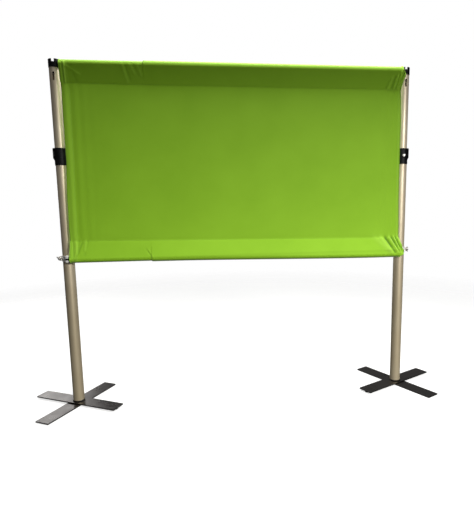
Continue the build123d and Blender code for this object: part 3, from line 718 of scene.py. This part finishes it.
def grid_faces(rows, cols, start, flip):
    """Quads of a rows x cols grid of vertices that begins at start."""
    i, j = np.meshgrid(np.arange(rows - 1), np.arange(cols - 1), indexing="ij")
    a = start + i * cols + j
    quads = np.stack([a, a + 1, a + cols + 1, a + cols], axis=-1).reshape(-1, 4)
    return quads[:, ::-1] if flip else quads


def slab_faces(rows, cols):
    """Quads of a front grid, the back grid that follows it, and the four rims between them."""
    count = rows * cols
    faces = [grid_faces(rows, cols, 0, True), grid_faces(rows, cols, count, False)]
    index = np.arange(count).reshape(rows, cols)
    rims = ((index[0], True), (index[-1], False), (index[:, 0], False), (index[:, -1], True))
    for line, flip in rims:
        rim = np.stack([line[:-1], line[1:], line[1:] + count, line[:-1] + count], axis=-1)
        faces.append(rim if flip else rim[:, ::-1])
    return np.concatenate(faces)


def mesh_object(name, vertices, faces, material):
    """A smooth-shaded object of one material."""
    data = bpy.data.meshes.new(name)
    data.from_pydata([tuple(v) for v in vertices], [], [tuple(int(i) for i in f) for f in faces])
    data.validate()
    data.update()
    data.polygons.foreach_set("use_smooth", [True] * len(data.polygons))
    data.materials.append(material)
    made = bpy.data.objects.new(name, data)
    scene.collection.objects.link(made)
    return made


def point_values(piece, name, values):
    attribute = piece.data.attributes.new(name, "FLOAT", "POINT")
    attribute.data.foreach_set("value", np.asarray(values, np.float32))


def run_length(points, axis):
    """Mean distance along the sheet from its first row or column to each of the others."""
    steps = np.linalg.norm(np.diff(points, axis=axis), axis=-1).mean(axis=1 - axis)
    return np.concatenate([[0.0], np.cumsum(steps)])


def lay_flat(piece, across, down):
    """UV map of the cloth laid flat, in metres. The front and the back share it."""
    own = np.stack(np.broadcast_arrays(across[None, :], down[:, None]), axis=-1).reshape(-1, 2)
    own = np.concatenate([own, own])
    layer = piece.data.uv_layers.new(name="cloth")
    corner = np.empty(len(piece.data.loops), np.int32)
    piece.data.loops.foreach_get("vertex_index", corner)
    layer.data.foreach_set("uv", own[corner].astype(np.float32).ravel())


def build_cloth(grid):
    """The cloth with its thickness, hems, UV map, tones, painted shade and painted highlights, and
    its flat width and length.
    """
    rows, cols = grid.points.shape[:2]
    whole = np.ones((rows, 1))
    edge_left = (grid.nominal + bar_end)[None, :]
    edge_right = (bar_end - grid.nominal)[None, :]
    edge = np.minimum(edge_left, edge_right)
    hem = ease((LEFT_HEM - edge_left) / HEM_SLOPE) + ease((RIGHT_HEM - edge_right) / HEM_SLOPE)
    hem = hem * whole
    bead = np.exp(-((edge / BEAD_REACH) ** 2)) * whole
    turned = hem * (grid.names == "field")[:, None]
    before = CLOTH_THICK / 2 + BEAD_FRONT * bead
    behind = CLOTH_THICK / 2 + BEAD_BACK * bead + HEM_THICK * turned
    front = grid.points + grid.normals * before[..., None]
    back = grid.points - grid.normals * behind[..., None]
    vertices = np.concatenate([front.reshape(-1, 3), back.reshape(-1, 3)])
    piece = mesh_object(
        "backdrop_cloth", vertices, slab_faces(rows, cols), materials["green_fabric"]
    )
    across, down = run_length(grid.points, 1), run_length(grid.points, 0)
    lay_flat(piece, across, down)

    # painted shade under the lower sleeve and along the front's side edges, plus painted shade and
    # highlight from the folds, kept for the cloth's colour
    under = (grid.names == "under")[:, None]
    in_front = np.isin(grid.names, FRONT_SEGMENTS)[:, None]
    facing_down = ease((-grid.normals[..., 2] - UNDERSIDE_START) / UNDERSIDE_RANGE)
    shade = UNDERSIDE_SHADE * facing_down * under
    shade = shade + SIDE_SHADE * in_front * np.exp(-((edge / SIDE_SHADE_REACH) ** 2))
    painted_light_level = np.clip(grid.folds / FULL_FOLD - shade, -1.0, 1.0)
    for name, values in (("layers_and_highlight", hem), ("fold", painted_light_level)):
        point_values(piece, name, np.concatenate([values.ravel(), values.ravel()]))
    return piece, (float(across[-1]), float(down[-1]))


grid = cloth_grid()
cloth, flat_size = build_cloth(grid)


# ---------------------------------------------------------------------------------------------
# Stitching along both seams and both side hems
# ---------------------------------------------------------------------------------------------
STITCH_PITCH = 4.2 * MM
STITCH_LONG = 3.0 * MM
STITCH_RADIUS = 0.42 * MM
STITCH_FLATNESS = 0.8
STITCH_LIFT = CLOTH_THICK / 2 + 0.15 * MM
STITCH_SIDES = 6
# rings of a stitch: place along it, and width
STITCH_RINGS = ((-0.5, 0.05), (-0.34, 0.8), (0.0, 1.0), (0.34, 0.8), (0.5, 0.05))
# columns and rows left free of stitches at the ends of a seam and of a side hem
SEAM_INSET, HEM_INSET = 4, 2
HEM_STITCH_INSET = 2 * MM


def closed_tube(rings, sides, start=0):
    """Faces of a tube of rings of vertices that begin at start, closed at both ends."""
    faces = []
    for ring in range(rings - 1):
        for k in range(sides):
            a = start + ring * sides + k
            b = start + ring * sides + (k + 1) % sides
            faces.append((a, b, b + sides, a + sides))
    faces.append(tuple(start + k for k in reversed(range(sides))))
    faces.append(tuple(start + (rings - 1) * sides + k for k in range(sides)))
    return faces


def stitch_line(path, normals):
    """Short rounded stitches laid end to end along a line on the cloth."""
    steps = np.linalg.norm(np.diff(path, axis=0), axis=1)
    run = np.concatenate([[0.0], np.cumsum(steps)])
    vertices, faces = [], []

    def at(s, values):
        return np.array([np.interp(s, run, values[:, k]) for k in range(3)])

    for centre in np.arange(STITCH_PITCH, run[-1] - STITCH_PITCH, STITCH_PITCH):
        ahead = at(centre + STITCH_PITCH / 2, path) - at(centre - STITCH_PITCH / 2, path)
        ahead = ahead / np.linalg.norm(ahead)
        side = np.cross(ahead, at(centre, normals))
        side = side / np.linalg.norm(side)
        up = np.cross(side, ahead)
        middle = at(centre, path) + up * STITCH_LIFT
        start = len(vertices)
        for along, wide in STITCH_RINGS:
            for k in range(STITCH_SIDES):
                turn = 2 * math.pi * k / STITCH_SIDES
                ring = side * math.cos(turn) + up * STITCH_FLATNESS * math.sin(turn)
                vertices.append(middle + ahead * along * STITCH_LONG + ring * STITCH_RADIUS * wide)
        faces += closed_tube(len(STITCH_RINGS), STITCH_SIDES, start)
    return vertices, faces


def stitches(name, lines):
    """One piece of all the stitches along several lines, each given as points and normals."""
    vertices, faces = [], []
    for path, normals in lines:
        found, quads = stitch_line(path, normals)
        base = len(vertices)
        vertices += found
        faces += [tuple(base + i for i in quad) for quad in quads]
    return mesh_object(name, vertices, faces, thread)


def row_of(name):
    return int(np.argmax(grid.names == name))


inset = slice(SEAM_INSET, -SEAM_INSET)
stitch_pieces = []
for name, seam, hem_behind in (
    ("top_seam_stitches", "field", "back_top"),
    ("bottom_seam_stitches", "band_bottom", "hem_bottom"),
):
    rows = (row_of(seam), row_of(hem_behind))
    lines = [(grid.points[row, inset], grid.normals[row, inset]) for row in rows]
    stitch_pieces.append(stitches(name, lines))

lines = []
field_rows = np.where(grid.names == "field")[0][HEM_INSET:-HEM_INSET]
for hem_x in (-bar_end + LEFT_HEM - HEM_STITCH_INSET, bar_end - RIGHT_HEM + HEM_STITCH_INSET):
    column = int(np.argmin(np.abs(grid.nominal - hem_x)))
    lines.append((grid.points[field_rows, column], grid.normals[field_rows, column]))
stitch_pieces.append(stitches("side_hem_stitches", lines))


# ---------------------------------------------------------------------------------------------
# Rolled ends of both sleeves
# ---------------------------------------------------------------------------------------------
ROLL_SIDES = 8
ROLL_SINK = 1.0 * MM
SLEEVES = {
    "top": ("back_top", "over", "band_top"),
    "bottom": ("band_bottom", "under", "back_bottom"),
}
# each roll's sleeve, side, column of the sheet, radius and paleness; the top right roll's paleness
# of 3.0 is a painted highlight
SLEEVE_ROLLS = (
    ("top", "left", 0, 1.7 * MM, 1.0),
    ("top", "right", -1, 2.6 * MM, 3.0),
    ("bottom", "left", 0, 1.7 * MM, 1.0),
    ("bottom", "right", -1, 1.7 * MM, 1.0),
)


def bead_along(path, radius, sides):
    """Vertices of a round bead along a line of points that nowhere runs along x."""
    ahead = np.gradient(path, axis=0)
    ahead /= np.linalg.norm(ahead, axis=1, keepdims=True)
    side = np.cross(ahead, np.array((1.0, 0.0, 0.0)))
    side /= np.linalg.norm(side, axis=1, keepdims=True)
    up = np.cross(side, ahead)
    turns = 2 * math.pi * np.arange(sides) / sides
    rings = (
        path[:, None, :]
        + radius * np.cos(turns)[None, :, None] * side[:, None, :]
        + radius * np.sin(turns)[None, :, None] * up[:, None, :]
    )
    return rings.reshape(-1, 3)


for sleeve, end, column, radius, paleness_and_highlight in SLEEVE_ROLLS:
    rows = np.where(np.isin(grid.names, SLEEVES[sleeve]))[0]
    path = grid.points[rows, column] + grid.normals[rows, column] * (radius - ROLL_SINK)
    bead = bead_along(path, radius, ROLL_SIDES)
    quads = closed_tube(len(path), ROLL_SIDES)
    roll = mesh_object(f"{sleeve}_{end}_sleeve_roll", bead, quads, materials["green_fabric"])
    point_values(roll, "layers_and_highlight", [paleness_and_highlight] * len(bead))
    stitch_pieces.append(roll)

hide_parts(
    "backdrop_field_gather", "backdrop_field", "top_pocket_gather", "top_pocket",
    "bottom_pocket_gather", "bottom_pocket",
)
for piece in [cloth, *stitch_pieces]:
    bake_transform(piece)

# ---------------------------------------------------------------------------------------------
# Pale floor, fading out into a pale surround. Both light the object less than the camera sees.
# ---------------------------------------------------------------------------------------------
FLOOR_RADIUS = 4.3
FLOOR_RINGS, FLOOR_SPOKES = 24, 96
FADE_START, FADE_END = 1.6, 4.2
FLOOR_GLOW = 0.62


def floor_finish():
    """Faintly mottled pale paint that glows to the camera, is dim to the object, and thins out."""
    made, tree, shader = new_material("studio_floor")
    place = object_place(tree)
    reach = node(tree, "VectorMath", {0: place}, operation="LENGTH").outputs["Value"]
    fade = remap(tree, reach, FADE_START, FADE_END, 0.0, 1.0)
    mottle = noise(tree, place, 3.0)
    paint = mixed(tree, mottle, rgb(0.50, 0.50, 0.495), rgb(0.54, 0.54, 0.535))
    inputs = {"Base Color": paint, "Roughness": 0.65, "Specular IOR Level": 0.2}
    set_inputs(tree, shader, inputs)
    glow = node(tree, "Emission", {"Color": rgb(1.0, 1.0, 0.99), "Strength": FLOOR_GLOW})
    dim = node(tree, "BsdfDiffuse", {"Color": rgb(0.05, 0.05, 0.05)}).outputs["BSDF"]
    parts = {0: shader.outputs["BSDF"], 1: glow.outputs["Emission"]}
    pale = node(tree, "AddShader", parts).outputs["Shader"]
    seen = node(tree, "LightPath").outputs["Is Camera Ray"]
    lit = node(tree, "MixShader", {0: seen, 1: dim, 2: pale}).outputs["Shader"]
    clear = node(tree, "BsdfTransparent").outputs["BSDF"]
    faded = node(tree, "MixShader", {0: fade, 1: lit, 2: clear}).outputs["Shader"]
    tree.links.new(faded, tree.nodes["Material Output"].inputs["Surface"])
    return made


def floor_disc():
    """Vertices and faces of a disc of rings and spokes about the origin."""
    points = [(0.0, 0.0, 0.0)]
    faces = [(0, 1 + k, 1 + (k + 1) % FLOOR_SPOKES) for k in range(FLOOR_SPOKES)]
    for ring in range(1, FLOOR_RINGS + 1):
        wide = FLOOR_RADIUS * ring / FLOOR_RINGS
        start = 1 + (ring - 1) * FLOOR_SPOKES
        for k in range(FLOOR_SPOKES):
            turn = 2 * math.pi * k / FLOOR_SPOKES
            points.append((wide * math.cos(turn), wide * math.sin(turn), 0.0))
            if ring < FLOOR_RINGS:
                a, b = start + k, start + (k + 1) % FLOOR_SPOKES
                faces.append((a, a + FLOOR_SPOKES, b + FLOOR_SPOKES, b))
    return points, faces


floor = mesh_object("studio_floor", *floor_disc(), floor_finish())
floor.location.z = cad_low.z

# ---------------------------------------------------------------------------------------------
# Soft studio light
# ---------------------------------------------------------------------------------------------
world = bpy.data.worlds.new("studio")
scene.world = world
world.use_nodes = True
tree = world.node_tree
direction = node(tree, "SeparateXYZ", {0: node(tree, "TexCoord").outputs["Generated"]})
to_rear, to_top = direction.outputs["Y"], direction.outputs["Z"]
behind = remap(tree, to_rear, -0.35, 0.75, 0.0, 1.0)
above = remap(tree, to_top, -0.2, 0.9, 0.0, 1.0)
lift = maths(tree, "MAXIMUM", behind, maths(tree, "MULTIPLY", above, 0.55))
lift = maths(tree, "MULTIPLY", lift, remap(tree, to_top, -0.15, 0.70, 0.1, 1.0))
surround = mixed(tree, lift, rgb(0.012, 0.012, 0.013), rgb(0.22, 0.22, 0.225))
seen = node(tree, "LightPath").outputs["Is Camera Ray"]
shown = mixed(tree, seen, surround, rgb(1.0, 1.0, 1.0))
set_inputs(tree, tree.nodes["Background"], {"Color": shown, "Strength": 1.0})


def area_light(name, place, target, size, power, colour=(1.0, 1.0, 1.0)):
    """A rectangular light that the camera doesn't see, turned towards its target."""
    data = bpy.data.lights.new(name, "AREA")
    data.shape = "RECTANGLE"
    data.size, data.size_y = size
    data.energy = power
    data.color = colour
    light = bpy.data.objects.new(name, data)
    light.location = place
    way = Vector(target) - Vector(place)
    light.rotation_euler = way.to_track_quat("-Z", "Y").to_euler()
    light.visible_camera = False
    scene.collection.objects.link(light)
    return light


key = area_light("key", (1.5, -3.3, 1.74), (1.5, -3.3, 0.0), (0.6, 1.0), 386.0, (1.0, 0.99, 0.97))
fill = area_light("fill", (-0.6, -3.6, 1.74), (-0.6, -3.6, 0.0), (1.2, 1.2), 50.0)
area_light("over_front", (0.3, -0.25, 2.7), (0.3, -0.25, 0.0), (2.4, 0.3), 37.0)
area_light("over_back", (0.3, 0.35, 2.5), (0.3, 0.35, 0.0), (2.0, 0.6), 38.0)
area_light("back_left", (-2.0, 2.5, 1.1), (-0.9, 0.0, 0.0), (1.1, 0.9), 11.5, (1.0, 0.96, 0.93))
area_light("rear_fill", (0.0, 2.4, 3.4), (0.0, 0.0, 0.9), (2.4, 1.6), 26.0)

# both front lights leave out the foot bars, which would glare when seen from behind
unlit = bpy.data.collections.new("not_lit_from_front")
for part in nodes.values():
    if materials["foot_steel"] in [slot.material for slot in part.material_slots]:
        unlit.objects.link(part)
for entry in unlit.collection_objects:
    entry.light_linking.link_state = "EXCLUDE"
for light in (key, fill):
    light.light_linking.receiver_collection = unlit
